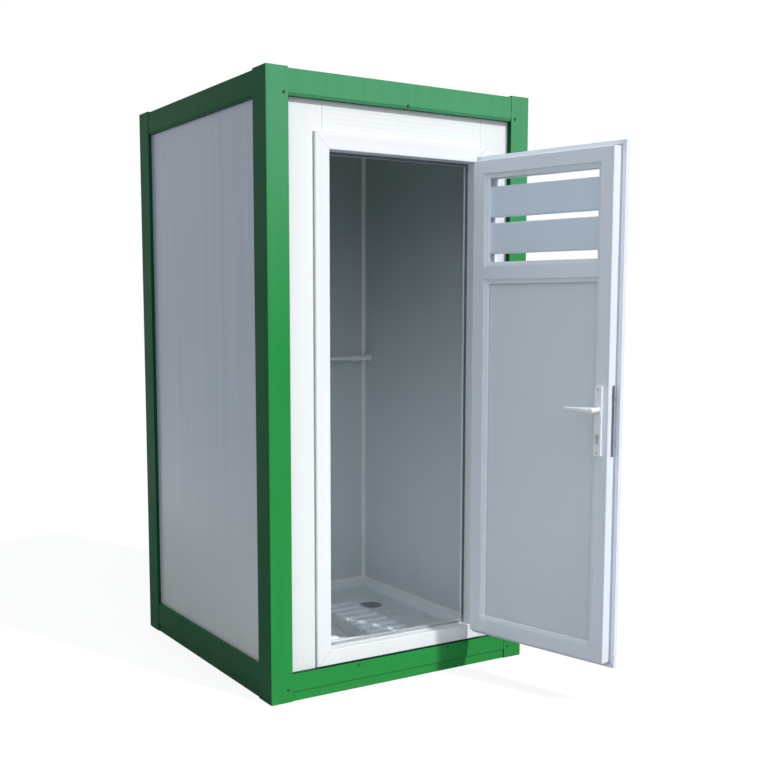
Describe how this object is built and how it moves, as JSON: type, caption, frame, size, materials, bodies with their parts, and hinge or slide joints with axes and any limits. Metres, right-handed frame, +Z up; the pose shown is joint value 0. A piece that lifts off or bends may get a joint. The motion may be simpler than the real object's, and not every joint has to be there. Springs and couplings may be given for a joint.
{
  "type": "portable shower cabin",
  "caption": "Free-standing steel framed shower cabin with sandwich panel walls, an outward opening louvred door, a ribbed floor tray with an oval well and a shower inside.",
  "frame": {"origin": "middle of the cabin's footprint, at the underside of the floor sheet that stands on the ground", "axes": "+Z up; -Y is the door wall, which the door opens out from; +X is to the right when one looks at the door wall, and is the side that the door hangs on"},
  "size_m": [1.15, 1.9031, 2.2],
  "materials": {
    "green_steel": "satin paint, a little uneven",
    "green_screw": "satin paint",
    "galvanised_steel": "dull zinc",
    "deck_board": "sanded plywood",
    "side_skin": "satin coated sheet",
    "front_skin": "satin coated sheet",
    "trim_plastic": "satin",
    "frame_plastic": "satin",
    "leaf_plastic": "satin",
    "leaf_infill": "satin",
    "seal_rubber": "matte",
    "hinge_white": "satin powder coat",
    "lock_steel": "brushed",
    "lever_white": "gloss powder coat",
    "plug_brass": "nickel washed",
    "tray_white": "gloss",
    "waste_grey": "matte",
    "drain_grey": "matte",
    "pipe_white": "satin",
    "inlet_brass": "turned",
    "chrome": "polished"
  },
  "bodies": {
    "cabin": {"corner_posts_front": "green_steel", "corner_posts_rear": "green_steel", "top_beam_front": "green_steel", "top_beam_rear": "green_steel", "top_beams_side": "green_steel", "bottom_beam_front": "green_steel", "bottom_beam_rear": "green_steel", "bottom_beams_side": "green_steel", "corner_brackets": "galvanised_steel", "frame_screws": "green_screw", "floor_joists": "galvanised_steel", "underfloor_sheet": "galvanised_steel", "floor_deck": "deck_board", "roof_panel": "side_skin", "roof_sheet": "galvanised_steel", "side_panel_left": "side_skin", "side_panel_right": "side_skin", "rear_panel": "side_skin", "front_panel_left": "front_skin", "front_panel_right": "front_skin", "over_door_panel": "front_skin", "sill_panel": "front_skin", "edge_trims": "trim_plastic", "tray_trims": "trim_plastic", "door_frame_head": "frame_plastic", "door_frame_sill": "frame_plastic", "door_frame_hinge_jamb": "frame_plastic", "door_frame_latch_jamb": "frame_plastic", "frame_gasket": "seal_rubber", "strike_plate": "lock_steel", "hinge_frame_leaves": "hinge_white", "hinge_pins": "lock_steel", "shower_tray": "tray_white", "waste_grate": "waste_grey", "waste_trap": "waste_grey", "waste_pipe": "drain_grey", "supply_pipe": "pipe_white", "pipe_fittings": "pipe_white", "water_inlet": "inlet_brass", "pipe_clips": "pipe_white", "shower_valve": "chrome", "riser_pipe": "chrome"},
    "door": {"sash_hinge_stile": "leaf_plastic", "sash_latch_stile": "leaf_plastic", "sash_rails": "leaf_plastic", "mid_rail": "leaf_plastic", "louvre_slats": "leaf_infill", "door_panel": "leaf_infill", "glazing_beads": "leaf_plastic", "hinge_sash_leaves": "hinge_white", "handle_plates": "lever_white", "lock_case": "lock_steel", "cylinder_body": "plug_brass"},
    "lever": {"door_levers": "lever_white", "spindle": "lock_steel"},
    "latch_bolt": {"latch_bolt": "lock_steel"},
    "deadbolt": {"deadbolt": "lock_steel"},
    "cylinder_plug": {"cylinder_plug": "plug_brass"},
    "valve_handle": {"valve_handle": "chrome"},
    "shower_head": {"shower_head": "chrome"}
  },
  "joints": [
    {"name": "door_swing", "type": "hinge", "parent": "cabin", "child": "door", "pos_m": [0.324, -0.621, 1.0505], "axis": [0, 0, 1], "range_deg": [-103, 67]},
    {"name": "lever_turn", "type": "hinge", "parent": "door", "child": "lever", "pos_m": [0.41602, -1.2063, 1.052], "axis": [-0.9744, -0.225, 0], "range_deg": [0, 35], "stiffness_Nm_per_rad": 1.5, "springref_deg": -17.19},
    {"name": "latch_slide", "type": "slide", "parent": "door", "child": "latch_bolt", "axis": [-0.225, 0.9744, 0], "range_m": [0, 0.012]},
    {"name": "plug_turn", "type": "hinge", "parent": "door", "child": "cylinder_plug", "pos_m": [0.41602, -1.2063, 0.96], "axis": [-0.9744, -0.225, 0], "range_deg": [0, 360]},
    {"name": "deadbolt_slide", "type": "slide", "parent": "door", "child": "deadbolt", "axis": [0.225, -0.9744, 0], "range_m": [0, 0.02]},
    {"name": "valve_turn", "type": "hinge", "parent": "cabin", "child": "valve_handle", "pos_m": [0, 0.433, 1.165], "axis": [0, -1, 0], "range_deg": [0, 90]},
    {"name": "head_tilt", "type": "hinge", "parent": "cabin", "child": "shower_head", "pos_m": [0, 0.184, 1.928], "axis": [1, 0, 0], "range_deg": [-15, 15]}
  ],
  "couplings": [
    {"joint": "latch_slide", "follows": "lever_turn", "m_per_rad": 0.019644},
    {"joint": "deadbolt_slide", "follows": "plug_turn", "m_per_rad": 0.0031831}
  ]
}
